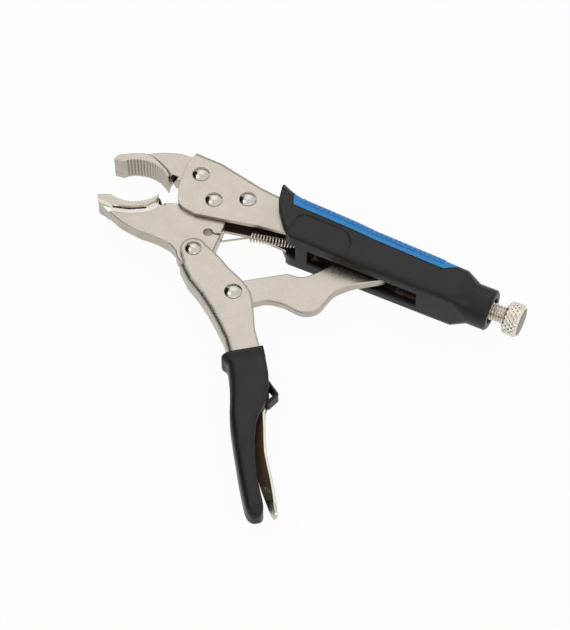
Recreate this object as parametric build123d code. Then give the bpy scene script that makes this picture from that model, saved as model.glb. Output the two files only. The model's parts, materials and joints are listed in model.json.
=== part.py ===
from build123d import *
import os
from math import sin, cos, radians, degrees, atan2, hypot

# Locking pliers, ten-inch class, shown wide open and lying on one side.
# Build frame: the jaw pivot is the origin, +X runs back along the handle to the adjusting knob,
# +Y is the spine side of the upper handle, and Z = 0 is the middle of the thickness.
# At the end everything is moved so that the origin is under the middle of the whole tool.

os.makedirs("parts", exist_ok=True)

# ---- driving dimensions, millimetres and degrees ----
# jaws
jaw_thickness = 8.0          # forged body of both jaws
pad_thickness = 14.4         # thick tooth pads along the mouth
pad_steps = [(1.2, 12.0), (0.9, 30.0), (0.7, 50.0), (0.7, 63.0)]   # drop and slope, pad to body
mouth_radius = 19.8          # curve of the mouth, both jaws
upper_mouth_x = -43.4
upper_mouth_top = 7.3
lower_mouth_x = -44.5
lower_mouth_bottom = -4.0
tooth_pitch = 1.7
tooth_depth = 0.62
tooth_count = 17
upper_teeth_middle = 87.5    # angle round the mouth's arc
lower_teeth_middle = -83.0
jaw_edge_fillet = 0.8
upper_cutter_x = -27.9
lower_cutter_x = -28.6
cutter_half_width = 1.9
cutter_land = 0.5            # half width of the cutting edge
jaw_open_angle = 23.0        # swing from closed to fully open
hub_radius = 10.0            # moving jaw round the main pivot
hub_gap = 1.2                # fixed jaw clears the hub by this
tail_lobe_radius = 9.6       # moving jaw round the handle pivot
spring_hole_radius = 2.7
spring_hole_x = -1.8         # in the closed jaw
spring_hole_y = -20.9
# pivots, in the closed jaw or on the frame
handle_pivot_x = -8.8
handle_pivot_y = -34.1
front_rivet_x = -14.7
front_rivet_y = 13.0
rear_rivet_x = 16.6
rear_rivet_y = 8.6
rivet_shank_radius = 3.2
rivet_head_radius = 4.8
rivet_head_height = 2.2
small_head_radius = 4.4
fixed_fit = 0.02             # shank in a riveted hole
pivot_fit = 0.06             # shank in a turning hole
# upper handle channel
plate = 2.2                  # sheet thickness
side_gap = 0.15              # jaw to plate, each side
spine_bend = 3.4             # outer bend radius of the spine
flare_start = 21.5
flare_end = 60.0
rear_half_width = 10.0       # outer half width behind the flare
channel_end = 145.0
channel_lower_y = -5.1
# grip
grip_front = 31.0
grip_end = 165.5
grip_half = 12.6
flat_start = 92.0             # the sides are planes between these
flat_end = 145.0
back_radius = 7.5
grip_top_front = 19.6
grip_top_rear = 15.9
grip_bottom = -9.3
grip_floor = 3.6             # wall under the channel
grip_fit = 0.08              # sleeve to channel
collar_radius = 11.2
end_hole_radius = 7.3
slot_half = 5.4
notch_end = 54.2             # floor is open ahead of this, for the spring
slot_start = 61.0
slot_end = 126.0
insert_depth = 1.0
rib_height = 0.5
rib_pitch = 2.9
rib_width = 1.9
# adjusting screw
screw_axis_y = 2.2
screw_radius = 5.0
screw_tip = 110.0
screw_fit = 0.04
bush_radius = 9.0
bush_front = 138.0
bush_end = 160.5
knob_radius = 9.1
knob_length = 9.0
knob_end = 182.5
spigot_radius = 3.4
# lower handle, in its own frame: u from the handle pivot to the tail, v towards the grip
handle_angle = -52.0         # fully open
link_pivot_u = 32.9
link_pivot_v = 15.6
ear_radius = 7.0
handle_length = 165.2
tail_drawn = 55.2            # the tail's length in the outlines below
handle_bend = 3.4
# sheath
sheath_start = 73.5
sheath_wall = 1.5
sheath_fit = 0.06
rim_back = 2.3               # the rim stands out this far at the back
rim_side = 0.9
# toggle link, in its own frame: from the link pivot to the screw tip
link_thickness = 5.0
link_end_radius = 6.3
tip_x = 103.0
tip_y = -0.3
# release lever, in the lower handle's frame
lever_pivot_u = 101.0
lever_pivot_v = 15.4
lever_half_width = 3.9
lever_sheet = 1.5
lever_pin_radius = 1.5
lever_lobe_radius = 2.9

# tension spring
spring_coil_radius = 2.5    # to the middle of the wire
spring_wire_radius = 0.55
spring_pitch = 1.72
spring_front_x = 27.4
spring_front_y = -9.8
spring_slope = 15.6
spring_coils = 15.5
hook_lead = 1.5              # straight wire between the coil and the bend of the front hook
anchor_pin_radius = 1.5
anchor_reach = 8.0           # cross pin behind the end of the coil
anchor_rise = 3.9

# ---- derived sizes ----
half_jaw = jaw_thickness / 2
half_pad = pad_thickness / 2
inner_half = half_jaw + side_gap
outer_half = inner_half + plate
rear_inner_half = rear_half_width - plate
SHANK = rivet_shank_radius


def rot(point, angle):
    a = radians(angle)
    x, y = point
    return (x * cos(a) - y * sin(a), x * sin(a) + y * cos(a))


def flat(points, radii):
    """Closed face from corner points, each corner rounded by its own radius."""
    return make_face(FilletPolyline(*points, radius=radii, close=True))


def slab(face, low, high):
    """Solid from a flat face between two heights."""
    return Pos(0, 0, low) * extrude(face, high - low, dir=(0, 0, 1))


def disc(x, y, radius, low, high):
    return Pos(x, y, (low + high) / 2) * Cylinder(radius, high - low)


def edges_at(solid, *heights):
    """Edges that lie flat at one of the given heights."""
    picked = []
    for e in solid.edges():
        box = e.bounding_box()
        for h in heights:
            if abs(box.min.Z - h) < 1e-4 and abs(box.max.Z - h) < 1e-4:
                picked.append(e)
    return picked


def rivet(x, y, head_z, head_radius, shank_radius):
    """Round rivet with a domed head on both sides, one turned solid."""
    h = rivet_head_height
    r = head_radius
    dome = (r * r + h * h) / (2 * h)
    shoulder = 0.35
    lean = head_z + shoulder
    a = lean + h - shoulder
    mid_r = r * 0.62
    dome_h = h - shoulder
    big = (r * r + dome_h * dome_h) / (2 * dome_h)
    mid_z = lean + dome_h - big + (big * big - mid_r * mid_r) ** 0.5
    line = Line((0, 0), (shank_radius, 0))
    line += Line((shank_radius, 0), (shank_radius, head_z))
    line += Line((shank_radius, head_z), (r, head_z))
    line += Line((r, head_z), (r, lean))
    line += ThreePointArc((r, lean), (mid_r, mid_z), (0, a))
    line += Line((0, a), (0, 0))
    profile = Plane.XZ * make_face(line)
    half = revolve(profile, Axis.Z, 360)
    whole = half + mirror(half, Plane.XY)
    return Pos(x, y, 0) * whole


# ---- jaws, drawn closed ----
def grooves(cx, cy, middle, low, high):
    """V grooves across the mouth, spaced round its arc, whose middle lies at the given angle."""
    step = degrees(tooth_pitch / mouth_radius)
    cuts = []
    for i in range(tooth_count):
        a = middle + (i - (tooth_count - 1) / 2) * step
        base = mouth_radius - 0.12
        tip = (mouth_radius + tooth_depth, 0)
        half = tooth_pitch * 0.5
        notch = make_face(Polyline((base, -half), tip, (base, half), close=True))
        cuts.append(Pos(cx, cy) * Rot(0, 0, a) * notch)
    return slab(Sketch() + cuts, low, high)


upper_cy = upper_mouth_top - mouth_radius
lower_cy = lower_mouth_bottom + mouth_radius
hub_clear = hub_radius + hub_gap

# fixed jaw: forged, gripped between the channel walls by two rivets
fixed_points = [(-63.1, 0.5), (-61.6, 6.0), (-54.0, 11.4), (-43.0, 19.0), (-33.5, 23.0),
                (-22.0, 24.0), (-2.0, 22.4), (13.0, 18.2), (24.2, 14.0), (24.2, 1.6),
                (10.5, 1.6), (6.5, 9.0), (-12.0, 6.6), (-26.0, 5.0), (-28.6, 4.8),
                (-29.6, 2.6), (-43.0, 1.0), (-58.0, 1.2)]
fixed_radii = [0.5, 2.5, 8.0, 25.0, 12.0, 14.0, 20.0, 4.0, 4.0, 5.0,
               0.6, 1.0, 3.0, 0.5, 0.5, 0.3, 3.0, 0.5]
hub_space = disc(0, 0, hub_clear, -half_pad, half_pad)
upper_mouth = disc(upper_mouth_x, upper_cy, mouth_radius, -half_pad - 1, half_pad + 1)
fixed_blank = slab(flat(fixed_points, fixed_radii), -half_jaw, half_jaw) - hub_space
upper_pad_top = flat([(-63.1, 0.5), (-62.5, 4.4), (-55.6, 8.9), (-49.6, 11.9), (-44.6, 11.9),
                      (-39.0, 9.6), (-33.0, 6.6), (-29.4, 3.0), (-43.0, 1.0), (-58.0, 1.2)],
                     [0.5, 1.2, 5.0, 4.0, 6.0, 12.0, 3.0, 0.3, 3.0, 0.5])


def tooth_pad(top_face, outline_face):
    """Thick pad on both sides of a jaw, whose flanks sweep down to the forged body in a hollow curve."""
    half, z, layer = Part(), half_pad, Pos(0, 0, half_pad) * top_face
    for drop, slope in pad_steps:
        step = extrude(layer, -drop, dir=(0, 0, 1), taper=-slope)
        half = half + step
        z = z - drop
        layer = step.faces().sort_by(Axis.Z)[0]
    half = half & slab(outline_face, 0, half_pad)
    return half + mirror(half, Plane.XY)


def cutter_notch(x, y0, y1):
    """Two wedges across the rear of a pad, one from each side, with the wire cutter's edge between them."""
    front, rear = x - cutter_half_width, x + cutter_half_width
    wedge = make_face(Polyline((front, half_pad + 1), (rear, half_pad + 1), (rear, half_jaw),
                               (x, cutter_land), (front, half_jaw), close=True))
    near = Pos(0, y1, 0) * Rot(90, 0, 0) * extrude(wedge, y1 - y0, dir=(0, 0, 1))
    return near + mirror(near, Plane.XY)


fixed_blank = fillet(edges_at(fixed_blank, half_jaw, -half_jaw), jaw_edge_fillet)
fixed_outline = flat(fixed_points, fixed_radii)
fixed_jaw = fixed_blank + tooth_pad(upper_pad_top, fixed_outline)
fixed_jaw = fixed_jaw - upper_mouth
fixed_jaw = fixed_jaw - grooves(upper_mouth_x, upper_cy, upper_teeth_middle, -half_pad - 1, half_pad + 1)
fixed_jaw = fixed_jaw - cutter_notch(upper_cutter_x, -3.0, 7.6)

# moving jaw: drawn closed, then swung open about the main pivot
px, py = handle_pivot_x, handle_pivot_y
moving_points = [(-64.3, -0.1), (-63.4, -3.6), (-59.3, -7.2), (-50.1, -15.8), (-39.7, -21.8),
                 (-30.2, -25.2), (-22.4, -29.6), (-17.6, -35.2), (-8.0, -37.0),
                 (1.0, -36.0), (2.6, -31.0), (6.6, -16.5), (9.0, -4.0), (2.0, 2.0),
                 (-8.0, -1.6), (-27.4, -1.6), (-28.4, -1.0), (-29.8, 1.5),
                 (-32.5, 1.5), (-44.5, 2.5), (-56.8, 0.1)]
moving_radii = [0.8, 2.0, 8.0, 20.0, 20.0, 20.0, 9.0, 2.0, 2.0,
                2.0, 3.0, 8.0, 2.0, 1.0, 2.0, 0.5, 0.4, 0.4,
                0.2, 2.0, 0.3]
moving_plan = flat(moving_points, moving_radii) + Circle(hub_radius) + Pos(px, py) * Circle(tail_lobe_radius)
moving_outline = moving_plan.faces()[0]
moving_blank = slab(moving_outline, -half_jaw, half_jaw)
moving_blank = fillet(edges_at(moving_blank, half_jaw, -half_jaw), jaw_edge_fillet)
lower_pad_top = flat([(-64.3, -0.1), (-63.5, -2.9), (-55.6, -6.7), (-46.0, -7.7), (-36.6, -6.4),
                      (-32.0, -3.0), (-29.2, 1.5), (-32.5, 1.5), (-44.5, 2.5), (-56.8, 0.1)],
                     [0.6, 1.0, 6.0, 10.0, 6.0, 3.0, 0.3, 0.2, 2.0, 0.3])
lower_mouth = disc(lower_mouth_x, lower_cy, mouth_radius, -half_pad - 1, half_pad + 1)
moving_jaw = moving_blank + tooth_pad(lower_pad_top, moving_outline)
moving_jaw = moving_jaw - lower_mouth
moving_jaw = moving_jaw - grooves(lower_mouth_x, lower_cy, lower_teeth_middle, -half_pad - 1, half_pad + 1)
moving_jaw = moving_jaw - cutter_notch(lower_cutter_x, -3.4, 3.0)


# swing the jaw open
B = rot((px, py), jaw_open_angle)
hole = rot((spring_hole_x, spring_hole_y), jaw_open_angle)
bore = SHANK + pivot_fit
moving_jaw = Rot(0, 0, jaw_open_angle) * moving_jaw
moving_jaw = moving_jaw - disc(0, 0, bore, -half_jaw - 1, half_jaw + 1)
moving_jaw = moving_jaw - disc(B[0], B[1], bore, -half_jaw - 1, half_jaw + 1)
moving_jaw = moving_jaw - disc(hole[0], hole[1], spring_hole_radius, -half_jaw - 1, half_jaw + 1)
tight = SHANK + fixed_fit
for x, y in ((front_rivet_x, front_rivet_y), (rear_rivet_x, rear_rivet_y)):
    fixed_jaw = fixed_jaw - disc(x, y, tight, -half_jaw - 1, half_jaw + 1)

# ---- upper handle: one pressed channel, pinched on the jaws and flared for the grip ----


def channel_section(x, half_width, top, bottom, bend):
    """Inverted U turned on its side: closed at the spine, round bends, for lofting along X."""
    ring = [(half_width, bottom), (half_width, top), (-half_width, top), (-half_width, bottom)]
    wire = FilletPolyline(*ring, radius=[0.01, bend, bend, 0.01], close=True)
    return Plane((x, 0, 0), x_dir=(0, 0, 1), z_dir=(-1, 0, 0)) * make_face(wire)


def spine_y(x):
    """Outside of the spine along the tool."""
    knots = [(-30.0, 27.2), (-8.0, 26.4), (18.0, 20.8), (32.0, 18.8), (48.0, 17.3), (146.0, 13.6)]
    for (x0, y0), (x1, y1) in zip(knots, knots[1:]):
        if x <= x1:
            return y0 + (y1 - y0) * (x - x0) / (x1 - x0)
    return knots[-1][1]


def half_width_at(x, narrow, wide):
    t = min(max((x - flare_start) / (flare_end - flare_start), 0.0), 1.0)
    return narrow + (wide - narrow) * t * t * (3 - 2 * t)


flare_x = [flare_start + (flare_end - flare_start) * k / 9 for k in range(10)]
channel_x = [-30.0, -8.0, 18.0] + flare_x + [channel_end + 1]


def channel_form(grow, bend, bottom):
    """Full form of the channel, grown or shrunk all round by a wall."""
    parts = []
    for x in channel_x:
        w = half_width_at(x, outer_half, rear_half_width) + grow
        parts.append(channel_section(x, w, spine_y(x) + grow, bottom, bend))
    return loft(parts, ruled=True)


channel_side = flat([(-23.6, 30.0), (-25.0, 17.0), (-22.6, 2.0), (-17.0, -11.5), (-5.0, -13.0), (11.0, -9.7),
                     (30.0, -5.6), (44.0, channel_lower_y), (channel_end, channel_lower_y), (channel_end, 30.0)],
                    [1.0, 10.0, 12.0, 9.0, 4.0, 10.0, 10.0, 8.0, 1.0, 1.0])
outer_form = channel_form(0, spine_bend, -30.0)
inner_form = channel_form(-plate, spine_bend - plate + 0.01, -40.0)
frame_channel = (outer_form - inner_form) & slab(channel_side, -20, 20)

frame_rivets = [(front_rivet_x, front_rivet_y), (rear_rivet_x, rear_rivet_y), (0.0, 0.0)]
for x, y in frame_rivets:
    frame_channel = frame_channel - disc(x, y, tight, -outer_half - 1, outer_half + 1)

# rivets: two hold the fixed jaw, one is the main pivot, two carry the lower handle and the link
head_seat = outer_half + 0.02
front_rivet = rivet(front_rivet_x, front_rivet_y, head_seat, rivet_head_radius, SHANK)
rear_rivet = rivet(rear_rivet_x, rear_rivet_y, head_seat, rivet_head_radius, SHANK)
jaw_pivot_rivet = rivet(0, 0, head_seat, rivet_head_radius, SHANK)

# ---- adjusting screw, its threaded bush and the knurled knob ----
neck_half = rear_inner_half - 0.04
bush = Pos(bush_front, screw_axis_y, 0) * Rot(0, 90, 0) * Cylinder(
    bush_radius, bush_end - bush_front, align=(Align.CENTER, Align.CENTER, Align.MIN))
shoulder_x = channel_end + 0.1
flats = Pos((bush_front + shoulder_x) / 2, screw_axis_y, 0) * Box(shoulder_x - bush_front, 60, 2 * neck_half)
behind = Pos(shoulder_x + 40, screw_axis_y, 0) * Box(80, 60, 60)
bush = bush & (flats + behind)


def rod(x0, x1, y, radius):
    return Pos(x0, y, 0) * Rot(0, 90, 0) * Cylinder(
        radius, x1 - x0, align=(Align.CENTER, Align.CENTER, Align.MIN))


knob_start = knob_end - knob_length
threaded_bush = bush - rod(bush_front - 1, bush_end + 1, screw_axis_y, screw_radius + screw_fit)
screw = rod(screw_tip, knob_start - 0.05, screw_axis_y, screw_radius)
screw = chamfer(screw.edges().sort_by(Axis.X)[:1], 1.0)
adjusting_screw = screw + rod(knob_start - 1, knob_end - 2.5, screw_axis_y, spigot_radius)
knob = rod(knob_start, knob_end, screw_axis_y, knob_radius)
knob = chamfer(knob.edges().sort_by(Axis.X)[:1], 1.3)
knob = chamfer(knob.edges().sort_by(Axis.X)[-1:], 0.6)
screw_knob = knob - rod(knob_start - 1, knob_end - 2.45, screw_axis_y, spigot_radius + 0.03)

# ---- grip: black moulded sleeve with a ribbed insert over its back ----
grip_x = [grip_front, 36.0, 41.0, 48.0, 62.0, 80.0, 91.0, 120.0, 146.0, 154.5, grip_end - 1.0, grip_end]
back_rise = [4.2, 2.4, 1.1, 0.0]
side_rise = [2.8, 2.2, 1.7, 1.4, 1.3, 0.9, 0.0, 0.0, 0.0]
floor_radius = [2.0, 2.0, 2.0, 2.0, 2.0, 2.5, 3.5, 3.5, 3.5]


def grip_section(i, grow):
    """Rounded section of the sleeve at station i: back, sides and floor."""
    x = grip_x[i]
    if i >= 9:
        r = collar_radius if i < 11 else collar_radius - 0.9
        top, bottom, half = screw_axis_y + r, screw_axis_y - r, r
        back_r, floor_r = r - 0.3, r - 0.3
    else:
        t = (x - 48.0) / (146.0 - 48.0)
        top = grip_top_front + (grip_top_rear - grip_top_front) * t
        top += back_rise[i] if i < 4 else 0.0
        bottom = grip_bottom
        half = grip_half + side_rise[i]
        back_r, floor_r = back_radius, floor_radius[i]
    top, bottom, half = top + grow, bottom - grow, half + grow
    back_r, floor_r = back_r + grow, floor_r + grow
    ring = [(half, bottom), (half, top), (-half, top), (-half, bottom)]
    wire = FilletPolyline(*ring, radius=[floor_r, back_r, back_r, floor_r], close=True)
    return Plane((x, 0, 0), x_dir=(0, 0, 1), z_dir=(-1, 0, 0)) * make_face(wire)


def grip_form(grow, first=0, last=11):
    return loft([grip_section(i, grow) for i in range(first, last + 1)], ruled=True)


grip_side = flat([(31.8, 40.0), (32.2, 20.0), (35.4, 8.0), (43.0, -2.0), (47.4, -6.4), (47.4, -7.6),
                  (60.0, -14.0),
                  (grip_end + 1, -14.0), (grip_end + 1, 40.0)],
                 [1.0, 20.0, 14.0, 6.0, 0.4, 0.4, 6.0, 1.0, 1.0])
sleeve = grip_form(0) & slab(grip_side, -30, 30)
flat_half = grip_half - 0.02
for side in (-1, 1):
    trim = Box(flat_end - flat_start, 80, 10)
    sleeve = sleeve - Pos((flat_start + flat_end) / 2, 0, side * (flat_half + 5)) * trim

# hollow for the channel, open along the floor slot, and for the bush
fit_form = channel_form(grip_fit, spine_bend, grip_bottom + grip_floor)
hollow = fit_form & Box(2 * (channel_end + 0.3), 100, 100)
neck_hole = rod(bush_front - 0.5, bush_end + 0.1, screw_axis_y, bush_radius + grip_fit)
end_hole = rod(bush_end, grip_end + 1, screw_axis_y, end_hole_radius)
sleeve = sleeve - hollow - neck_hole - end_hole
slot_y = grip_bottom - 6
slot = Pos((slot_start + slot_end) / 2, slot_y, 0) * Box(slot_end - slot_start, 24, 2 * slot_half)
mouth_notch = Pos(notch_end - 10, slot_y, 0) * Box(20.0, 24, 2 * slot_half)
sleeve = sleeve - slot - mouth_notch

# recessed label panel on both sides, left bare
panel = flat([(48.4, grip_bottom + 1.6), (48.8, 7.8), (77.0, 7.4), (83.0, 0.5), (83.0, grip_bottom + 1.6)],
             [0.4, 5.0, 5.0, 4.0, 0.4])
skin = grip_form(1, 2, 7) - grip_form(-0.5, 2, 7)
sleeve = sleeve - (slab(panel, -30, 30) & skin)

# insert: wraps the back, with cross ribs
insert_points = [(40.2, 40.0), (40.4, 17.5), (43.2, 10.9), (84.0, 9.6), (120.0, 8.2), (134.0, 7.8),
                 (139.6, 12.4), (139.6, 40.0)]
insert_side = flat(insert_points, [0.5, 3.0, 1.0, 20.0, 20.0, 2.0, 2.0, 0.5])
insert_shell = grip_form(0, 1, 8) - grip_form(-insert_depth, 1, 8)
grip_insert = insert_shell & slab(insert_side, -30, 30)
insert_bed = grip_form(3, 1, 8) - grip_form(-insert_depth - 0.02, 1, 8)
sleeve = sleeve - slab(insert_side, -30, 30).intersect(insert_bed)

rib_start, rib_stop = 47.0, 136.5
rib_side_points = [(rib_start - 2, 40.0), (rib_start - 2, 14.2), (84.0, 12.6), (120.0, 11.2), (133.0, 10.8),
                   (rib_stop + 1, 13.0), (rib_stop + 1, 40.0)]
rib_side = slab(flat(rib_side_points, [0.5, 0.5, 20.0, 20.0, 2.0, 1.0, 0.5]), -30, 30)
rib_skin = (grip_form(rib_height, 1, 8) - grip_form(-0.4, 1, 8)) & rib_side
rib_count = int((rib_stop - rib_start) / rib_pitch)
bars = []
for i in range(rib_count):
    bars.append(Pos(rib_start + i * rib_pitch, 20, 0) * Box(rib_width, 60, 60))
grip_insert = grip_insert + (rib_skin & (Part() + bars))


# ---- lower handle, drawn in its own frame ----
def smooth(knots, u):
    """Smooth curve through a few knots (monotone cubic)."""
    n = len(knots)
    if u <= knots[0][0]:
        return knots[0][1]
    if u >= knots[-1][0]:
        return knots[-1][1]
    s = [(knots[k + 1][1] - knots[k][1]) / (knots[k + 1][0] - knots[k][0]) for k in range(n - 1)]
    m = [s[0]]
    for k in range(1, n - 1):
        m.append(0.0 if s[k - 1] * s[k] <= 0 else 2 * s[k - 1] * s[k] / (s[k - 1] + s[k]))
    m.append(s[-1])
    k = 0
    while u > knots[k + 1][0]:
        k += 1
    h = knots[k + 1][0] - knots[k][0]
    t = (u - knots[k][0]) / h
    y0, y1 = knots[k][1], knots[k + 1][1]
    return ((1 + 2 * t) * (1 - t) ** 2 * y0 + t * (1 - t) ** 2 * h * m[k]
            + t * t * (3 - 2 * t) * y1 + t * t * (t - 1) * h * m[k + 1])


tail_start = 110.0             # behind this the handle stretches with its length
tail_scale = (handle_length - tail_start) / tail_drawn


def stretched(points):
    """Points or stations drawn for the nominal handle, spread so that the tail follows the handle's length."""
    def move(u):
        return u if u <= tail_start else tail_start + (u - tail_start) * tail_scale
    return [(move(p[0]), p[1]) if isinstance(p, tuple) else move(p) for p in points]


back_knots = [(8.0, -9.2), (15.0, -8.2), (32.0, -1.8), (52.0, 3.3), (66.0, 5.3), (80.0, 5.1), (96.0, 3.0),
              (112.0, -0.2), (131.0, -1.7), (160.0, -2.9), (169.0, -2.6)]
back_knots = stretched(back_knots)
front_knots = [(44.0, 24.2), (60.0, 22.0), (75.0, 22.4), (84.0, 22.2), (96.0, 20.6), (105.0, 17.3),
               (114.0, 11.3), (123.0, 7.9), (141.0, 4.4), (155.0, 3.4), (169.0, 3.4)]
front_knots = stretched(front_knots)
spine_start = 8.5


def handle_section(u, grow, bend, front):
    ring = [(outer_half + grow, front), (outer_half + grow, smooth(back_knots, u) - grow),
            (-outer_half - grow, smooth(back_knots, u) - grow), (-outer_half - grow, front)]
    wire = FilletPolyline(*ring, radius=[0.01, bend, bend, 0.01], close=True)
    return Plane((u, 0, 0), x_dir=(0, 0, 1), z_dir=(-1, 0, 0)) * make_face(wire)


def handle_form(grow, bend, u0, u1, front):
    count = 15
    stations = [u0 + (u1 - u0) * k / count for k in range(count + 1)]
    return loft([handle_section(u, grow, bend, front) for u in stations], ruled=True)


handle_plan = flat([(spine_start, -20.0), (spine_start, 12.6), (16.5, 16.0), (26.5, 21.6), (35.0, 24.6)]
                   + front_knots[:-1] + [(handle_length, 3.4), (handle_length, -20.0)],
                   [1.0, 3.0, 20.0, 12.0, 8.0]
                   + [8.0, 20.0, 20.0, 15.0, 10.0, 8.0, 12.0, 20.0, 30.0, 30.0] + [1.5, 1.0])
handle_outer = handle_form(0, handle_bend, spine_start, handle_length, 40.0)
handle_inner = handle_form(-plate, handle_bend - plate + 0.01, spine_start - 1, handle_length + 1, 60.0)
handle_channel = (handle_outer - handle_inner) & slab(handle_plan, -20, 20)
ear_plan = flat([(-4.0, -4.5), (4.0, -6.9), (14.0, -6.0), (14.0, 15.2), (5.6, 11.2), (-3.5, 5.5)],
                [1.0, 4.0, 1.0, 0.5, 8.0, 1.0]) + Circle(ear_radius)
ear_face = ear_plan.faces()[0]
ears = slab(ear_face, inner_half, outer_half) + slab(ear_face, -outer_half, -inner_half)
lower_handle = handle_channel + ears
for u, v in ((0.0, 0.0), (link_pivot_u, link_pivot_v)):
    lower_handle = lower_handle - disc(u, v, tight, -outer_half - 1, outer_half + 1)
lower_handle = lower_handle - disc(lever_pivot_u, lever_pivot_v, lever_pin_radius + fixed_fit,
                                   -outer_half - 1, outer_half + 1)

# ---- sheath ----
sheath_u = stretched([sheath_start + 0.6, 80.0, 88.0, 96.0, 102.0, 107.0, 112.0, 118.0, 126.0, 136.0, 148.0, 158.0,
                      163.0, 164.8, 166.4, 167.8, 169.0, 170.0, 170.6, 170.9])
tip_radius = 6.8               # the tip is a dome of this radius
tip_centre = sheath_u[-1] + 0.15 - tip_radius
sheath_half = outer_half + sheath_fit + sheath_wall


def sheath_section(u):
    pull = tip_radius - (tip_radius ** 2 - max(u - tip_centre, 0.0) ** 2) ** 0.5
    low = smooth(back_knots, u) - sheath_wall - sheath_fit + 0.6 * pull
    high = smooth(front_knots, u) + sheath_wall + sheath_fit - 0.6 * pull
    h = sheath_half - pull
    ring = [(h, high), (h, low), (-h, low), (-h, high)]
    back_r = min(4.2, 0.48 * (high - low), 0.9 * h)
    front_r = min(2.0, 0.25 * (high - low), 0.5 * h)
    wire = FilletPolyline(*ring, radius=[front_r, back_r, back_r, front_r], close=True)
    return Plane((u, 0, 0), x_dir=(0, 0, 1), z_dir=(-1, 0, 0)) * make_face(wire)


sheath = loft([sheath_section(u) for u in sheath_u], ruled=True)
sheath_hollow = handle_form(sheath_fit, handle_bend, spine_start, handle_length + 0.15, 40.0)
cover_plan = flat([(60.0, -20.0), (60.0, 22.1)] + [(u, v + sheath_fit) for u, v in front_knots[2:-1]]
                  + [(handle_length + 0.15, 3.5), (handle_length + 0.15, -20.0)],
                  [1.0, 1.0] + [20.0, 15.0, 10.0, 8.0, 12.0, 20.0, 30.0, 30.0] + [1.0, 1.0])
sheath = sheath - (sheath_hollow & slab(cover_plan, -20, 20))
mouth_low, mouth_high = stretched([100.5, 158.0])
sheath_mouth = Pos((mouth_low + mouth_high) / 2, 20, 0) * Box(mouth_high - mouth_low, 40, 2 * inner_half)
sheath = sheath - sheath_mouth

# rolled rim round the back and both sides, open on the inner side
rim_u = [sheath_start + du for du in (-1.4, -0.8, 0.5, 1.8, 3.4, 5.2)]
rim_grow = [0.45, 1.0, 0.95, 0.55, 0.22, -0.05]


def rim_section(u, grow):
    low = smooth(back_knots, u) - sheath_wall - sheath_fit - grow * rim_back
    high = smooth(front_knots, u) + sheath_wall
    h = sheath_half + grow * rim_side
    ring = [(h, high), (h, low), (-h, low), (-h, high)]
    wire = FilletPolyline(*ring, radius=[0.6, 4.6, 4.6, 0.6], close=True)
    return Plane((u, 0, 0), x_dir=(0, 0, 1), z_dir=(-1, 0, 0)) * make_face(wire)


rim = loft([rim_section(u, g) for u, g in zip(rim_u, rim_grow)], ruled=True)
rim = rim - (sheath_hollow & slab(cover_plan, -20, 20))
rim_mouth = Pos(sheath_start, 32, 0) * Box(12, 40, 2 * inner_half)
sheath = sheath + rim - rim_mouth

# finger guard: a pointed loop on the inner side, ahead of the release lever
guard_outer = [(89.0, 22.4), (93.5, 23.8), (100.6, 26.4), (105.0, 20.2), (104.2, 18.8), (97.0, 20.1)]
guard_inner = [(93.6, 19.0), (94.6, 22.6), (100.0, 24.8), (102.6, 20.6), (99.0, 20.4), (98.0, 19.0)]
guard_width = 3.4
guard = slab(flat(guard_outer, [0.5, 2.0, 0.9, 0.7, 0.3, 0.5]), -guard_width, guard_width)
guard_hole = slab(flat(guard_inner, [0.2, 1.2, 0.6, 0.3, 0.4, 0.2]), -guard_width - 1, guard_width + 1)
guard_window = slab(flat(guard_inner, [0.2, 1.2, 0.6, 0.3, 0.4, 0.2]), -guard_width, guard_width)
sheath = (sheath - guard_window) + (guard - guard_hole - (sheath_hollow & slab(cover_plan, -20, 20)))

# ---- release lever: a pressed channel on a pin through the handle, drawn out into a canted blade ----
lever_nose = [(82.0, 17.6), (98.0, 18.5), (110.5, 17.4), (110.5, 14.2), (105.6, 14.4),
              (104.0, lever_pivot_v - lever_lobe_radius), (98.0, lever_pivot_v - lever_lobe_radius),
              (95.6, 14.6), (84.6, 14.2)]
lever_side = slab(flat(lever_nose, [0.4, 30.0, 0.4, 0.4, 1.5, 2.5, 2.5, 1.5, 1.6]),
                  -lever_half_width, lever_half_width)
under_back = [(80.0, 17.6 - lever_sheet), (98.0, 18.5 - lever_sheet), (112.0, 17.3 - lever_sheet),
              (112.0, 0.0), (80.0, 0.0)]
channel_cut = slab(flat(under_back, [0.1, 30.0, 0.1, 0.1, 0.1]),
                   -lever_half_width + lever_sheet, lever_half_width - lever_sheet)
blade_upper = [(107.0, 17.7), (112.0, 17.2), (120.0, 15.9), (129.0, 14.2), (137.0, 13.2), (150.0, 13.0),
               (158.0, 12.6), (164.0, 12.0), (171.0, 11.3)]
blade_lower = [(107.0, 11.6), (112.0, 9.2), (120.0, 7.6), (135.0, 7.2), (150.0, 7.5), (158.0, 8.5), (166.0, 9.5),
               (171.0, 10.4)]
blade_half = [(107.0, 3.9), (152.0, 3.9), (160.0, 4.0), (165.0, 4.1), (169.0, 3.4), (171.0, 2.0)]
blade_upper, blade_lower, blade_half = stretched(blade_upper), stretched(blade_lower), stretched(blade_half)
blade_u = stretched([107.0, 110.0, 114.0, 120.0, 127.0, 134.0, 142.0, 150.0, 155.0, 160.0, 165.0, 168.0,
                     170.0, 171.0])


def blade_section(u):
    """Canted strip: its upper edge stands further out than its lower one."""
    out, deep, h = smooth(blade_upper, u), smooth(blade_lower, u), smooth(blade_half, u)
    ring = [(h, out), (h, out - lever_sheet - 0.2), (-h, deep - lever_sheet), (-h, deep)]
    wire = FilletPolyline(*ring, radius=[0.35, 0.35, 0.35, 0.35], close=True)
    return Plane((u, 0, 0), x_dir=(0, 0, 1), z_dir=(-1, 0, 0)) * make_face(wire)


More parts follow.
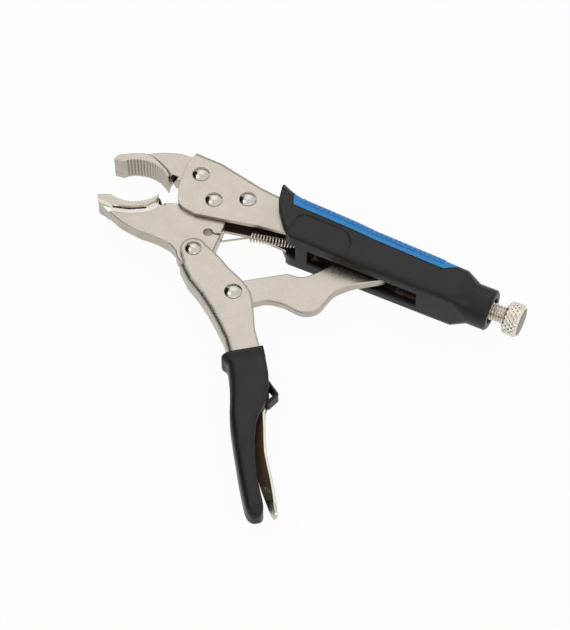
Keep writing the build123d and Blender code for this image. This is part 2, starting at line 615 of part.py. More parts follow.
blade = loft([blade_section(u) for u in blade_u], ruled=True)
release_lever = (lever_side - channel_cut) + blade
release_lever = release_lever - disc(lever_pivot_u, lever_pivot_v, lever_pin_radius + pivot_fit, -10, 10)
release_lever_pin = disc(lever_pivot_u, lever_pivot_v, lever_pin_radius,
                         -outer_half + 0.05, outer_half - 0.05)

# ---- toggle link, in its own frame ----
C_local = (link_pivot_u, link_pivot_v)
C_rot = rot(C_local, handle_angle)
C = (B[0] + C_rot[0], B[1] + C_rot[1])
link_angle = degrees(atan2(tip_y - C[1], tip_x - C[0]))
link_length = hypot(tip_x - C[0], tip_y - C[1])
L = link_length
link_points = [(-8.6, 0.0), (-4.0, 8.6), (10.0, 9.0), (31.0, 8.8), (39.0, 4.0), (50.0, 7.4), (58.0, 10.4),
               (70.0, 10.0),
               (L + 0.3, link_end_radius), (L + link_end_radius + 0.2, 0.0), (L, -link_end_radius - 0.2),
               (L - 19.0, -link_end_radius), (L - 29.5, -8.9), (41.5, -19.9), (33.0, -18.5), (25.0, -10.6),
               (16.5, -6.3), (0.0, -8.6)]
link_radii = [6.0, 6.0, 20.0, 4.5, 9.0, 14.0, 9.0, 12.0,
              4.0, 4.5, 4.5, 12.0, 12.0, 9.5, 9.5, 16.0, 12.0, 6.0]
link_plan = flat(link_points, link_radii)
toggle_link = slab(link_plan, -link_thickness / 2, link_thickness / 2)
toggle_link = fillet(edges_at(toggle_link, link_thickness / 2, -link_thickness / 2), 1.0)
toggle_link = toggle_link - disc(0, 0, SHANK + pivot_fit, -5, 5)

# ---- tension spring: closed-wound coil, front hook through the jaw, rear hook on a cross pin ----
sx, sy = spring_front_x, spring_front_y
sdir = (cos(radians(spring_slope)), sin(radians(spring_slope)))
coil_length = spring_coils * spring_pitch
coil = Helix(spring_pitch, coil_length, spring_coil_radius)
coil_start = coil @ 0
wire_section = Plane(origin=coil_start, z_dir=coil % 0) * Circle(spring_wire_radius)
coil_body = sweep(wire_section, path=coil, is_frenet=True)
coil_frame = Pos(sx, sy, 0) * Rot(0, 0, spring_slope) * Rot(0, 90, 0) * Rot(0, 0, 180)
coil_body = coil_frame * coil_body
rear_x, rear_y = sx + sdir[0] * coil_length, sy + sdir[1] * coil_length
anchor_x = rear_x + anchor_reach
anchor_y = rear_y + anchor_rise


def wire(points, radii):
    """Round wire along straight runs joined by arcs."""
    path = FilletPolyline(*points, radius=radii)
    section = Plane(origin=path @ 0, z_dir=path % 0) * Circle(spring_wire_radius)
    return sweep(section, path=path)


def ball(point):
    return Pos(*point) * Sphere(spring_wire_radius)


placed_coil = coil_frame * coil
start_point = placed_coil @ 0
end_point = placed_coil @ 1
jaw_clear = half_jaw + spring_wire_radius + 0.12
hook_x = hole[0] + spring_hole_radius - spring_wire_radius - 0.12
p0 = (start_point.X, start_point.Y, start_point.Z)
lead = start_point - (placed_coil % 0) * hook_lead
front_points = [p0, (lead.X, lead.Y, lead.Z), (hook_x + 7.0, hole[1] + 3.9, jaw_clear),
                (hook_x, hole[1] + 0.1, jaw_clear), (hook_x, hole[1] + 0.1, -jaw_clear),
                (hook_x + 4.0, hole[1] + 2.6, -jaw_clear)]
front_hook = wire(front_points, [0.6, 1.6, 1.0, 1.0])
q0 = (end_point.X, end_point.Y, end_point.Z)
reach = anchor_pin_radius + spring_wire_radius + 0.1
ax, ay = anchor_x, anchor_y
nx, ny = -sdir[1], sdir[0]
pin_offset = nx * anchor_reach + ny * anchor_rise
side = pin_offset + reach
rear_points = [q0, (rear_x + sdir[0] * 3.2 + nx * side, rear_y + sdir[1] * 3.2 + ny * side, 0.6),
               (ax + sdir[0] * reach + nx * reach, ay + sdir[1] * reach + ny * reach, 0.6),
               (ax + sdir[0] * reach - nx * reach, ay + sdir[1] * reach - ny * reach, 0.6),
               (ax - sdir[0] * 1.2 - nx * reach, ay - sdir[1] * 1.2 - ny * reach, 0.6)]
rear_hook = wire(rear_points, [0.6, reach - 0.3, reach - 0.3])
tension_spring = coil_body + front_hook + rear_hook + ball(q0)
spring_anchor_pin = disc(ax, ay, anchor_pin_radius, -rear_half_width + 0.05, rear_half_width - 0.05)
frame_channel = frame_channel - disc(ax, ay, anchor_pin_radius + fixed_fit, -20, 20)

# ---- place everything in the open pose ----
handle_place = Pos(B[0], B[1], 0) * Rot(0, 0, handle_angle)
link_place = Pos(C[0], C[1], 0) * Rot(0, 0, link_angle)
handle_pivot_rivet = rivet(0, 0, head_seat, small_head_radius, SHANK)
link_pivot_rivet = Pos(link_pivot_u, link_pivot_v, 0) * rivet(0, 0, head_seat, rivet_head_radius, SHANK)

nodes = {
    "frame_channel": frame_channel,
    "fixed_jaw": fixed_jaw,
    "front_jaw_rivet": front_rivet,
    "rear_jaw_rivet": rear_rivet,
    "jaw_pivot_rivet": jaw_pivot_rivet,
    "threaded_bush": threaded_bush,
    "grip_sleeve": sleeve,
    "grip_insert": grip_insert,
    "spring_anchor_pin": spring_anchor_pin,
    "tension_spring": tension_spring,
    "adjusting_screw": adjusting_screw,
    "screw_knob": screw_knob,
    "moving_jaw": moving_jaw,
    "lower_handle": handle_place * lower_handle,
    "handle_pivot_rivet": handle_place * handle_pivot_rivet,
    "link_pivot_rivet": handle_place * link_pivot_rivet,
    "handle_sheath": handle_place * sheath,
    "release_lever_pin": handle_place * release_lever_pin,
    "release_lever": handle_place * release_lever,
    "toggle_link": link_place * toggle_link,
}

# origin under the middle of the tool, on the surface that it lies on
boxes = [shape.bounding_box() for shape in nodes.values()]
low = Vector(min(b.min.X for b in boxes), min(b.min.Y for b in boxes), min(b.min.Z for b in boxes))
high = Vector(max(b.max.X for b in boxes), max(b.max.Y for b in boxes), max(b.max.Z for b in boxes))
shift = Vector(-(low.X + high.X) / 2, -(low.Y + high.Y) / 2, -low.Z)
for name, shape in nodes.items():
    export_step(Pos(shift.X, shift.Y, shift.Z) * shape, "parts/" + name + ".step")
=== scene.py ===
import json
import math
import bpy
import numpy as np
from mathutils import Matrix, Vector


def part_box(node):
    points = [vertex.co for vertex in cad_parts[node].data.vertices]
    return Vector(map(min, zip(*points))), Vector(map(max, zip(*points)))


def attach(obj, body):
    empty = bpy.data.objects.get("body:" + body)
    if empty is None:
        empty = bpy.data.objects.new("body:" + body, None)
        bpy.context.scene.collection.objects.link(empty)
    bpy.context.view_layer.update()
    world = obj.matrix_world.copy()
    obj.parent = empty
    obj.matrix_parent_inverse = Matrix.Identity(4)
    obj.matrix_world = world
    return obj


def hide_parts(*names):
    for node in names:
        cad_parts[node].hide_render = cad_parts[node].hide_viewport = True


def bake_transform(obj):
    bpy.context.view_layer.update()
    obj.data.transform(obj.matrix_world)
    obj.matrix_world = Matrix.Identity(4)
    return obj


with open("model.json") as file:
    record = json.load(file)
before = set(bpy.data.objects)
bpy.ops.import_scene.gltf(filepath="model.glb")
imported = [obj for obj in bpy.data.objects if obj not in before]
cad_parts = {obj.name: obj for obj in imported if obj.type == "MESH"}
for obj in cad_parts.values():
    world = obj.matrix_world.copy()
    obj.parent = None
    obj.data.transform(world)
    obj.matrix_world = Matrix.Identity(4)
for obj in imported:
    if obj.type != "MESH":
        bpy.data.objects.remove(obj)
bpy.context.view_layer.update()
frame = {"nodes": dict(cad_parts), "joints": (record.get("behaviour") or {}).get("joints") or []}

# ---- camera ----
# A long lens looks down at 54 degrees on the tool, which lies on its side.
# Everything is placed from the jaw's pivot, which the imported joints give.
mm = 0.001


def joint_place(name):
    """Where a joint's axis stands at rest, in metres."""
    return np.array(next(joint for joint in frame["joints"] if joint["name"] == name)["pos_m"])


pivot = joint_place("jaw_hinge")
view_azimuth = math.radians(26.1626)
view_elevation = math.radians(54.0)
view_distance = 1.22471
look_at = pivot + np.array([67.464, -48.925, 0.0]) * mm
backwards = np.array([math.sin(view_azimuth) * math.cos(view_elevation),
                      -math.cos(view_azimuth) * math.cos(view_elevation),
                      math.sin(view_elevation)])
camera_data = bpy.data.cameras.new("camera")
camera_data.lens = 131.43
camera_data.sensor_width = 36.0
camera_data.clip_start = 0.05
camera_data.clip_end = 20.0
camera = bpy.data.objects.new("camera", camera_data)
camera.location = Vector(look_at + backwards * view_distance)
camera.rotation_euler = Vector(backwards).to_track_quat("Z", "Y").to_euler()
bpy.context.scene.collection.objects.link(camera)
bpy.context.scene.camera = camera
bpy.context.scene.view_settings.view_transform = "Standard"


# ---- floor, world and lamps ----
# A white studio table that runs out to the horizon, under soft boxes: a broad one overhead,
# one from the left and a weak one from the front right. The floor keeps a faint shadow.
def node(tree, kind, settings=None, links=None):
    """Adds one node. Settings go to its fields or, by socket name or number, to its inputs.

    Links join the outputs of other nodes to its inputs."""
    made = tree.nodes.new(kind)
    for key, value in (settings or {}).items():
        if isinstance(key, int) or key in made.inputs:
            made.inputs[key].default_value = value
        else:
            setattr(made, key, value)
    for key, output in (links or {}).items():
        tree.links.new(output, made.inputs[key])
    return made


def linear(code):
    """An sRGB hex colour as linear numbers: each channel has the sRGB curve undone."""
    channels = [int(code[i:i + 2], 16) / 255 for i in (1, 3, 5)]
    return tuple(c / 12.92 if c <= 0.04045 else ((c + 0.055) / 1.055) ** 2.4 for c in channels) + (1.0,)


def seen_directly(tree):
    """One for a ray from the camera, off a gloss or through glass, else nothing: the largest of three flags."""
    rays = node(tree, "ShaderNodeLightPath")
    seen = node(tree, "ShaderNodeMath", {"operation": "MAXIMUM"},
                {0: rays.outputs["Is Camera Ray"], 1: rays.outputs["Is Glossy Ray"]})
    seen = node(tree, "ShaderNodeMath", {"operation": "MAXIMUM"},
                {0: seen.outputs[0], 1: rays.outputs["Is Transmission Ray"]})
    return seen.outputs[0]


def blank_material(title):
    """A new material and its emptied node tree."""
    material = bpy.data.materials.new(title)
    material.use_nodes = True
    material.node_tree.nodes.clear()
    return material, material.node_tree


def flat_board(title, width, height, paint):
    """A rectangle about its own middle: half its width and height each way, in its own plane."""
    mesh = bpy.data.meshes.new(title)
    mesh.from_pydata([(-width / 2, -height / 2, 0), (width / 2, -height / 2, 0),
                      (width / 2, height / 2, 0), (-width / 2, height / 2, 0)], [], [(0, 1, 2, 3)])
    mesh.materials.append(paint)
    board = bpy.data.objects.new(title, mesh)
    bpy.context.scene.collection.objects.link(board)
    return board


white = linear("#ffffff")
ambient_strength = 0.62
world = bpy.data.worlds.new("studio")
bpy.context.scene.world = world
world.use_nodes = True
tree = world.node_tree
tree.nodes.clear()
ambient = node(tree, "ShaderNodeBackground", {"Color": white, "Strength": ambient_strength})
backdrop = node(tree, "ShaderNodeBackground", {"Color": white, "Strength": 1.0})
sky = node(tree, "ShaderNodeMixShader", None,
           {0: seen_directly(tree), 1: ambient.outputs[0], 2: backdrop.outputs[0]})
node(tree, "ShaderNodeOutputWorld", None, {"Surface": sky.outputs[0]})

# The board is matt white. Where it is seen it is mostly plain white, and the rest shows the shadow.
floor_width = 8.0
floor_drop = 0.4 * mm
plain_share = 0.96
floor_paint, tree = blank_material("white table board")
share = node(tree, "ShaderNodeMath", {"operation": "MULTIPLY", 1: plain_share}, {0: seen_directly(tree)})
board_coat = node(tree, "ShaderNodeBsdfDiffuse", {"Color": linear("#f4f4f4")})
glow = node(tree, "ShaderNodeEmission", {"Color": white, "Strength": 1.0})
floor_mix = node(tree, "ShaderNodeMixShader", None,
                 {0: share.outputs[0], 1: board_coat.outputs[0], 2: glow.outputs[0]})
node(tree, "ShaderNodeOutputMaterial", None, {"Surface": floor_mix.outputs[0]})
floor = flat_board("floor", floor_width, floor_width, floor_paint)
floor.location.z = -floor_drop

# Each soft box: its place and width in metres and its power in watts. It faces the frame's middle.
soft_boxes = [("main soft box", (-0.34, 0.69, 1.05), 0.9, 1.3),
              ("left soft box", (-0.8, -0.4, 1.25), 0.5, 2.2),
              ("right fill", (0.9, -0.9, 0.9), 0.8, 1.6)]
for lamp_name, place, width, power in soft_boxes:
    lamp_data = bpy.data.lights.new(lamp_name, "AREA")
    lamp_data.size = width
    lamp_data.energy = power
    lamp = bpy.data.objects.new(lamp_name, lamp_data)
    lamp.location = place
    lamp.rotation_euler = Vector(place).to_track_quat("Z", "Y").to_euler()
    bpy.context.scene.collection.objects.link(lamp)

# Charcoal cards stand upright round the table, out of the picture, and draw dark lines in the
# bent metal. Each card: its place, width and height in metres.
card_paint, tree = blank_material("charcoal card")
card_coat = node(tree, "ShaderNodeBsdfDiffuse", {"Color": linear("#121110")})
node(tree, "ShaderNodeOutputMaterial", None, {"Surface": card_coat.outputs[0]})
cards = [("front card", (0.35, -0.95, 0.20), 1.2, 0.34),
         ("left card", (-0.85, -0.15, 0.48), 1.6, 1.00),
         ("back card", (-0.30, 0.95, 0.22), 1.4, 0.26)]
for card_name, place, width, height in cards:
    card = flat_board(card_name, width, height, card_paint)
    card.location = place
    card.rotation_euler = Vector((place[0], place[1], 0.0)).to_track_quat("Z", "Y").to_euler()
    card.visible_camera = False
    card.visible_shadow = False


# ---- pressed frame, jaws, lower handle and toggle link ----
# Forged jaws and a link blanked from plate, and channels pressed from 2.2 mm sheet, all blasted
# with fine beads and nickel plated: a warm grey satin sheen with a fine grain and rubbed edges.
def satin_nickel(title, light, shade, rough, grain_mm, speckle, edge_mm=0.0, crease_mm=5.0, rim=1.0):
    """Metal whose colour drifts between two tones, with fine pits, painted brown shade in its creases and
    softened edges.

    Colour: a slow noise mixes the two tones. The grain's noise multiplies that by 1 - speckle to
    1 + speckle / 2, and ambient occlusion within crease_mm multiplies it by brown: painted shade in
    creases and corners. The grain also moves the roughness round its middle and lifts the pits. At a
    grazing angle the mirror is dimmed to rim. The beads' own grain of 0.1 mm is too fine to show, so the
    grain is drawn several times coarser."""
    cloud_mm, pit_mm = 11.0, 0.04
    # Painted shade: the brown that ambient occlusion multiplies into creases and corners.
    crease_shade_brown = "#73665b"
    material, tree = blank_material(title)
    place = node(tree, "ShaderNodeTexCoord").outputs["Object"]
    cloud = node(tree, "ShaderNodeTexNoise", {"Scale": 1 / (cloud_mm * mm), "Detail": 3.0, "Roughness": 0.55},
                 {"Vector": place})
    grain = node(tree, "ShaderNodeTexNoise", {"Scale": 1 / (grain_mm * mm), "Detail": 2.0, "Roughness": 0.6},
                 {"Vector": place})
    tone = node(tree, "ShaderNodeMix", {"data_type": "RGBA", 6: linear(light), 7: linear(shade)},
                {0: cloud.outputs["Fac"]})
    pitted = node(tree, "ShaderNodeMapRange",
                  {"From Min": 0.3, "From Max": 0.7, "To Min": 1 - speckle, "To Max": 1 + speckle / 2},
                  {"Value": grain.outputs["Fac"]})
    speckled = node(tree, "ShaderNodeMix", {"data_type": "RGBA", "blend_type": "MULTIPLY", 0: 1.0},
                    {6: tone.outputs[2], 7: pitted.outputs[0]})
    crease = node(tree, "ShaderNodeAmbientOcclusion", {"Distance": crease_mm * mm, "samples": 8})
    openness = node(tree, "ShaderNodeMapRange", {"From Min": 0.05, "From Max": 0.75},
                    {"Value": crease.outputs["AO"]})
    painted_crease_shade = node(tree, "ShaderNodeMix", {"data_type": "RGBA", 6: linear(crease_shade_brown), 7: white},
                 {0: openness.outputs[0]})
    colour = node(tree, "ShaderNodeMix", {"data_type": "RGBA", "blend_type": "MULTIPLY", 0: 1.0},
                  {6: speckled.outputs[2], 7: painted_crease_shade.outputs[2]})
    matt = node(tree, "ShaderNodeMapRange",
                {"From Min": 0.3, "From Max": 0.7, "To Min": rough - 0.05, "To Max": rough + 0.06},
                {"Value": grain.outputs["Fac"]})
    pits = node(tree, "ShaderNodeBump", {"Strength": 0.35, "Distance": pit_mm * mm},
                {"Height": grain.outputs["Fac"]})
    if edge_mm > 0:
        soft_edge = node(tree, "ShaderNodeBevel", {"samples": 4, "Radius": edge_mm * mm})
        tree.links.new(soft_edge.outputs[0], pits.inputs["Normal"])
    metal = node(tree, "ShaderNodeBsdfPrincipled", {"Metallic": 1.0, "Specular Tint": (rim, rim, rim, 1.0)},
                 {"Base Color": colour.outputs[2], "Roughness": matt.outputs[0], "Normal": pits.outputs[0]})
    node(tree, "ShaderNodeOutputMaterial", None, {"Surface": metal.outputs[0]})
    return material


def give_finish(names, material):
    """Takes off what the named pieces carry and gives each this one material."""
    for name in names:
        frame["nodes"][name].data.materials.clear()
        frame["nodes"][name].data.materials.append(material)


# Bead-blasted nickel plate: dull and even. Forged edges are sharp, cut sheet is a little
# rounder, and the lower handle's long bend is the softest.
nickel_light, nickel_shade = "#c0b9ae", "#aca59a"
blasted = {"rough": 0.31, "grain_mm": 0.9, "speckle": 0.12}
blasted_nickel = satin_nickel("bead-blasted nickel plate", nickel_light, nickel_shade, edge_mm=0.35, **blasted)
bent_nickel = satin_nickel("nickel plate on bent sheet", nickel_light, nickel_shade, edge_mm=2.2, **blasted)
pressed_nickel = satin_nickel("nickel plate on pressed sheet", nickel_light, nickel_shade, edge_mm=0.5, **blasted)
give_finish(["frame_channel"], pressed_nickel)
give_finish(["lower_handle"], bent_nickel)
give_finish(["fixed_jaw", "moving_jaw", "toggle_link"], blasted_nickel)


# The inner walls of the pressings are painted dark brown: painted shade, where the channels lie in shade.
def repaint(name, material, chosen):
    """Gives a second material to the faces of a piece that a test on their middle and normal picks."""
    mesh = frame["nodes"][name].data
    mesh.materials.append(material)
    for polygon in mesh.polygons:
        if chosen(np.array(polygon.center), np.array(polygon.normal)):
            polygon.material_index = len(mesh.materials) - 1


def painted_shade_coat(title, deep, pale):
    """Painted shade over metal: a dark brown, half mirror and half dull, in two slowly mixed browns."""
    cloud_mm = 6.0
    material, tree = blank_material(title)
    place = node(tree, "ShaderNodeTexCoord").outputs["Object"]
    cloud = node(tree, "ShaderNodeTexNoise", {"Scale": 1 / (cloud_mm * mm), "Detail": 3.0, "Roughness": 0.6},
                 {"Vector": place})
    tone = node(tree, "ShaderNodeMix", {"data_type": "RGBA", 6: linear(deep), 7: linear(pale)},
                {0: cloud.outputs["Fac"]})
    shade_coat = node(tree, "ShaderNodeBsdfPrincipled", {"Metallic": 0.5, "Roughness": 0.45},
                {"Base Color": tone.outputs[2]})
    node(tree, "ShaderNodeOutputMaterial", None, {"Surface": shade_coat.outputs[0]})
    return material


# A wall's inner face looks at the middle plane, and a channel's back looks at its open side.
inner_painted_shade = painted_shade_coat("painted shade inside the pressings", "#4a382d", "#6b5544")
inner_shade_end = 62 * mm
inner_half = 4.1 * mm
handle_hinge = joint_place("handle_hinge")
handle_turn = math.radians(-52.0)
handle_line = np.array([math.cos(handle_turn), math.sin(handle_turn), 0.0])
spine_side = {"frame_channel": np.array([0.0, 1.0, 0.0]),
              "lower_handle": np.array([math.sin(handle_turn), -math.cos(handle_turn), 0.0])}


def inside_channel(spine):
    """A test for the inner faces in front of the grip, for a channel whose closed back lies towards spine."""
    def chosen(middle, normal):
        height = middle[2] - pivot[2]
        inner_wall = normal[2] * height < -0.8 * abs(height)
        inner_back = abs(height) < inner_half and normal @ spine < -0.3
        return middle[0] - pivot[0] < inner_shade_end and (inner_wall or inner_back)
    return chosen


for name, spine in spine_side.items():
    repaint(name, inner_painted_shade, inside_channel(spine))

# The hollow flank below the lower teeth is polished, and its colour is painted lighter than the other nickel as a
# painted highlight. It slopes, and it ends near the mouth.
flank_polish_highlight = satin_nickel("polished forging with painted highlight", "#ece7dc", "#ddd7ca", rough=0.15, grain_mm=1.0, speckle=0.04,
                            crease_mm=2.0)
mouth_middle = pivot + np.array([-47.14, -2.84, 0.0]) * mm
flank_reach = 28.5 * mm
repaint("moving_jaw", flank_polish_highlight, lambda middle, normal: 0.2 < abs(normal[2]) < 0.985
        and math.hypot(middle[0] - mouth_middle[0], middle[1] - mouth_middle[1]) < flank_reach)

# ---- rivets, cross pin and release lever ----
# Steel rivets with domed heads, headed cold and then polished and plated: a bright nickel dome that
# mirrors the room. The lever is bright plated sheet, and its inner side is painted dark brown as painted shade.
polished_nickel = satin_nickel("polished nickel plate", "#cdc8be", "#bfbaaf", rough=0.19, grain_mm=1.2,
                               speckle=0.04)
give_finish(["front_jaw_rivet", "rear_jaw_rivet", "jaw_pivot_rivet", "handle_pivot_rivet", "link_pivot_rivet",
             "spring_anchor_pin", "release_lever_pin", "threaded_bush", "release_lever"], polished_nickel)
# Painted shade: the lever's inner faces are painted brown.
lever_inner_shade = painted_shade_coat("painted shade inside the lever", "#6a5442", "#8c755e")
lever_shade_end = 151 * mm
repaint("release_lever", lever_inner_shade, lambda middle, normal: normal @ spine_side["lower_handle"] > 0.2
        and (middle - handle_hinge) @ handle_line < lever_shade_end)


# ---- grip sleeve and handle sheath ----
# Hard moulded polypropylene over the steel: near-black, with a fine spark-eroded texture that
# breaks up the sheen, and slightly paler where hands rub it.
def moulded_plastic(title, deep, pale, rough, grain_mm, relief_mm, edge_mm, index):
    """Plastic with a fine mould texture in its surface and a slow drift of tone and roughness.

    One slow noise mixes the two tones and moves the roughness, and a fine one lifts the surface
    by relief_mm. The mould's own texture of 0.05 mm is drawn coarser, so that it shows."""
    cloud_mm = 16.0
    material, tree = blank_material(title)
    place = node(tree, "ShaderNodeTexCoord").outputs["Object"]
    cloud = node(tree, "ShaderNodeTexNoise", {"Scale": 1 / (cloud_mm * mm), "Detail": 3.0, "Roughness": 0.5},
                 {"Vector": place})
    grain = node(tree, "ShaderNodeTexNoise", {"Scale": 1 / (grain_mm * mm), "Detail": 2.0, "Roughness": 0.7},
                 {"Vector": place})
    tone = node(tree, "ShaderNodeMix", {"data_type": "RGBA", 6: linear(deep), 7: linear(pale)},
                {0: cloud.outputs["Fac"]})
    matt = node(tree, "ShaderNodeMapRange",
                {"From Min": 0.3, "From Max": 0.7, "To Min": rough - 0.05, "To Max": rough + 0.07},
                {"Value": cloud.outputs["Fac"]})
    soft_edge = node(tree, "ShaderNodeBevel", {"samples": 6, "Radius": edge_mm * mm})
    relief = node(tree, "ShaderNodeBump", {"Strength": 0.5, "Distance": relief_mm * mm},
                  {"Height": grain.outputs["Fac"], "Normal": soft_edge.outputs[0]})
    plastic = node(tree, "ShaderNodeBsdfPrincipled", {"Metallic": 0.0, "IOR": index},
                   {"Base Color": tone.outputs[2], "Roughness": matt.outputs[0], "Normal": relief.outputs[0]})
    node(tree, "ShaderNodeOutputMaterial", None, {"Surface": plastic.outputs[0]})
    return material


black_plastic = moulded_plastic("spark-textured black polypropylene", "#141414", "#1e1e1d", rough=0.39,
                                grain_mm=0.55, relief_mm=0.03, edge_mm=2.2, index=1.38)
give_finish(["grip_sleeve", "handle_sheath"], black_plastic)

# ---- ribbed insert ----
# A soft thermoplastic elastomer strip, moulded into the back of the sleeve, with cross ribs
# for the palm: a clear mid blue with a dull surface.
blue_elastomer = moulded_plastic("blue thermoplastic elastomer", "#3890d6", "#449ce0", rough=0.48,
                                 grain_mm=0.5, relief_mm=0.03, edge_mm=0.5, index=1.33)
give_finish(["grip_insert"], blue_elastomer)


# ---- adjusting screw ----
# An M10 screw with a rolled thread of 1.5 mm pitch, nickel plated. It runs through the bush at
# the end of the frame and its tip holds the toggle link.
def grid_mesh(title, points):
    """Closed mesh from a grid of points (stations, around, 3).

    Each station is a ring, joined to the next by four-sided faces, and a fan of triangles from
    its middle closes the first and the last."""
    rows, cols = points.shape[:2]
    index = np.arange(rows * cols).reshape(rows, cols)
    wrap = np.roll(index, -1, axis=1)
    faces = np.stack([index[:-1], wrap[:-1], wrap[1:], index[1:]], axis=-1).reshape(-1, 4).tolist()
    verts = np.vstack([points.reshape(-1, 3), points[0].mean(axis=0), points[-1].mean(axis=0)])
    first, last = rows * cols, rows * cols + 1
    faces += np.stack([wrap[0], index[0], np.full(cols, first)], axis=-1).tolist()
    faces += np.stack([index[-1], wrap[-1], np.full(cols, last)], axis=-1).tolist()
    mesh = bpy.data.meshes.new(title)
    mesh.from_pydata(verts.tolist(), [], faces)
    mesh.polygons.foreach_set("use_smooth", np.ones(len(mesh.polygons), dtype=bool))
    mesh.update()
    made = bpy.data.objects.new(title, mesh)
    bpy.context.scene.collection.objects.link(made)
    return made


def round_about_axis(xs, radius, angles):
    """Points of a turned form: along the screw's axis by xs, and out from it by radius at each angle."""
    return np.stack([xs, axis_y + radius * np.cos(angles), axis_z + radius * np.sin(angles)], axis=-1)


screw_low, screw_high = (np.array(corner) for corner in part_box("adjusting_screw"))
knob_low, knob_high = (np.array(corner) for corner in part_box("screw_knob"))
axis_y, axis_z = (screw_low[1] + screw_high[1]) / 2, (screw_low[2] + screw_high[2]) / 2
tip_x, head_x = screw_low[0], knob_low[0]

# Radius: root plus the thread's height times its profile. The profile is a triangle wave of the
# turns passed, stretched by flank_gain and lowered by root_flat, and cut at nothing and one, which
# leaves flats at root and crest. It fades out in the neck, and the tip is rounded.
crest, root, pitch = 4.97 * mm, 4.12 * mm, 1.5 * mm
flank_gain, root_flat = 1.35, 0.1
tip_run, tip_share, neck_run, head_gap = 2.2 * mm, 0.70, 1.2 * mm, 0.02 * mm
steps_per_turn, sides = 12, 48
along = np.linspace(tip_x, head_x - head_gap, round(steps_per_turn * (head_x - tip_x) / pitch) + 1)
turn = np.linspace(0, 2 * math.pi, sides, endpoint=False)
xs, angles = np.meshgrid(along, turn, indexing="ij")
phase = np.mod((xs - tip_x) / pitch - angles / (2 * math.pi), 1.0)
profile = np.clip((0.5 - np.abs(phase - 0.5)) * 2.0 * flank_gain - root_flat, 0.0, 1.0)
taper = np.clip((xs - tip_x) / tip_run, 0.0, 1.0)
neck = np.clip((head_x - xs) / neck_run, 0.0, 1.0)
radius = root + (crest - root) * profile * neck
radius = radius * (tip_share + (1 - tip_share) * np.sqrt(1 - (1 - taper) ** 2))
screw_thread = grid_mesh("adjusting_screw_thread", round_about_axis(xs, radius, angles))
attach(screw_thread, "screw")
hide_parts("adjusting_screw")
rolled_steel = satin_nickel("nickel-plated turned steel", "#efe9dc", "#ddd6c8", rough=0.25, grain_mm=0.9,
                            speckle=0.06, crease_mm=1.2)
screw_thread.data.materials.append(rolled_steel)

# ---- knurled knob ----
# Turned from bar with a diamond knurl rolled into its rim between two plain chamfers,
# and a flat, faced end.
knob_radius = (knob_high[2] - knob_low[2]) / 2
knob_length = knob_high[0] - knob_low[0]
knurl_depth, teeth, lead = 0.7 * mm, 20, 0.85
knurl_start, knurl_end, knurl_fade, knurl_lift = 0.10, 0.90, 0.07, 0.025

# The turned profile: shares of the knob's length against shares of its radius.
profile_at = [0.0, 0.02, 0.10, 0.16, 0.84, 0.90, 0.98, 1.0]
profile_share = [0.80, 0.86, 0.955, 0.975, 0.975, 0.955, 0.86, 0.80]
stations = np.array(profile_at[:4] + list(np.linspace(0.17, 0.83, 61)) + profile_at[4:])
turn = np.linspace(0, 2 * math.pi, teeth * 12, endpoint=False)
share_along, angles = np.meshgrid(stations, turn, indexing="ij")
body = np.repeat(np.interp(stations, profile_at, profile_share)[:, None], len(turn), axis=1)

# The knurl: two families of grooves, one along each hand of helix. Each is a triangle wave round
# the rim, and the lower of the two, steepened and cut at one, sets how deep the surface lies.
twist = lead * share_along * knob_length / knob_radius
right_hand = np.abs(np.mod(teeth * (angles + twist) / (2 * math.pi), 1.0) - 0.5) * 2
left_hand = np.abs(np.mod(teeth * (angles - twist) / (2 * math.pi), 1.0) - 0.5) * 2
knurl = np.clip(np.minimum(right_hand, left_hand) * 1.6, 0, 1)
band = np.clip(np.minimum(share_along - knurl_start, knurl_end - share_along) / knurl_fade, 0.0, 1.0)
radius = knob_radius * body + band * (knob_radius * knurl_lift - knurl_depth * (1 - knurl))
xs = knob_low[0] + share_along * knob_length
knurled_knob = grid_mesh("knurled_knob", round_about_axis(xs, radius, angles))
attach(knurled_knob, "knob")
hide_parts("screw_knob")
# Painted shade: the faced end is painted darker than the rim and its grazing mirror is dimmed, for the dimmer
# light it reflects.
faced_end_painted_shade = satin_nickel("faced end of the knob, painted darker", "#979892", "#8b8c86", rough=0.30, grain_mm=0.5,
                           speckle=0.05, rim=0.75)
knurled_knob.data.materials.append(rolled_steel)
knurled_knob.data.materials.append(faced_end_painted_shade)
for polygon in knurled_knob.data.polygons:
    if polygon.normal.x > 0.9:
        polygon.material_index = 1


# ---- tension spring ----
# Close-wound spring wire with a long hook through the jaw's hole and a short one round the cross
# pin.
def tube(title, path, wire):
    """Round wire: at each point of the path, a ring of the wire's radius in the plane across the path.

    The ring's first direction is carried along and loses its part along the path at each step, so it
    never twists."""
    ahead = np.gradient(path, axis=0)
    ahead /= np.linalg.norm(ahead, axis=1, keepdims=True)
    turn = np.linspace(0, 2 * math.pi, 12, endpoint=False)
    side = np.cross(ahead[0], [0.3, 0.2, 0.9])
    rings = []
    for point, direction in zip(path, ahead):
        side = side - direction * (side @ direction)
        side = side / np.linalg.norm(side)
        other = np.cross(direction, side)
        rings.append(point + wire * (np.cos(turn)[:, None] * side + np.sin(turn)[:, None] * other))
    return grid_mesh(title, np.array(rings))


def rounded(points, times):
    """A route whose corners are cut at a quarter of each leg, as many times as asked."""
    points = np.array(points, float)
    for _ in range(times):
        early = 0.75 * points[:-1] + 0.25 * points[1:]
        late = 0.25 * points[:-1] + 0.75 * points[1:]
        points = np.vstack([points[:1], np.stack([early, late], axis=1).reshape(-1, 3), points[-1:]])
    return points


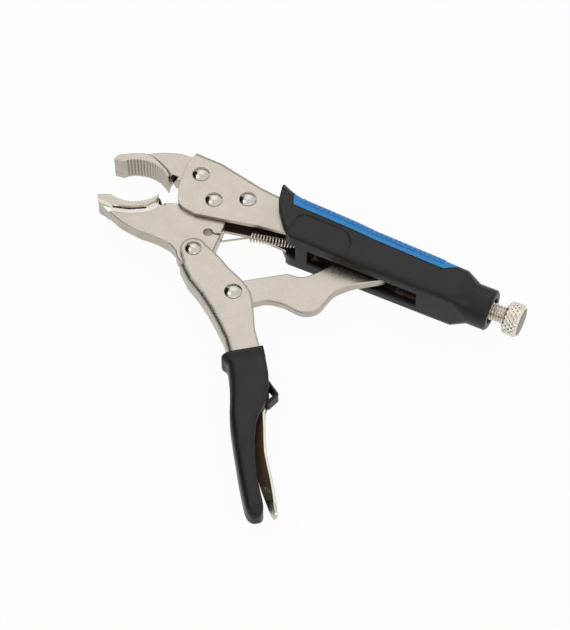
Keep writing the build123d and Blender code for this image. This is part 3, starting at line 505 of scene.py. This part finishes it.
# The coil, in millimetres from the pivot: its middle line runs along one slope and each turn adds
# the cosine of the angle upwards and takes the sine across.
coil_radius, wire_radius, coil_pitch, coil_turns, steps_per_coil = 2.5, 0.55, 1.72, 15.5, 28
coil_slope = math.radians(15.6)
coil_front = np.array([27.4, -9.8, 0.0])
along_coil = np.array([math.cos(coil_slope), math.sin(coil_slope), 0.0])
across_coil = np.array([-math.sin(coil_slope), math.cos(coil_slope), 0.0])
upwards = np.array([0.0, 0.0, 1.0])
steps = np.linspace(0, coil_turns, int(coil_turns * steps_per_coil))
wound = np.outer(np.cos(2 * math.pi * steps), upwards) - np.outer(np.sin(2 * math.pi * steps), across_coil)
coil = coil_front + np.outer(steps * coil_pitch, along_coil) + coil_radius * wound

# The front hook: a short end on one side of the jaw, through the hole, and a long lead on the other.
jaw_half, hook_clearance = 4.0, 0.12
jaw_side = jaw_half + wire_radius + hook_clearance
hole = np.array([6.51, -19.94, 0.0])
hook_place = hole + np.array([2.03, 0.1, 0.0])
front_route = [hook_place + np.array([6.6, 2.9, -jaw_side]), hook_place - jaw_side * upwards,
               hook_place + jaw_side * upwards, hook_place + np.array([7.0, 5.2, jaw_side]),
               coil[0] + 1.5 * across_coil, coil[0]]

# The rear hook goes three parts round the cross pin, a little off the middle plane.
pin_radius, pin_clearance, hook_rise = 1.5, 0.1, 0.6 * upwards
pin = coil_front + along_coil * coil_turns * coil_pitch + np.array([8.0, 3.9, 0.0])
reach = pin_radius + wire_radius + pin_clearance
rear_route = [coil[-1], coil[-1] + 3.0 * along_coil + 2.6 * across_coil + 3.0 * upwards,
              pin + reach * (across_coil - 0.6 * along_coil) + hook_rise,
              pin + reach * (along_coil + across_coil) + hook_rise,
              pin + reach * (along_coil - across_coil) + hook_rise,
              pin - reach * (0.6 * along_coil + across_coil) + hook_rise]

# The whole wire is turned over, so that the long lead runs under the jaw and the short end lies on top.
wire_path = np.vstack([rounded(front_route, 3)[:-1], coil, rounded(rear_route, 3)[1:]])
wire_path[:, 2] *= -1
spring = tube("tension_spring_wire", pivot + wire_path * mm, wire_radius * mm)
drawn_wire = satin_nickel("drawn spring wire", "#d2cbbc", "#b9b1a1", rough=0.28, grain_mm=0.8, speckle=0.10)
spring.data.materials.append(drawn_wire)
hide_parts("tension_spring")
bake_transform(spring)
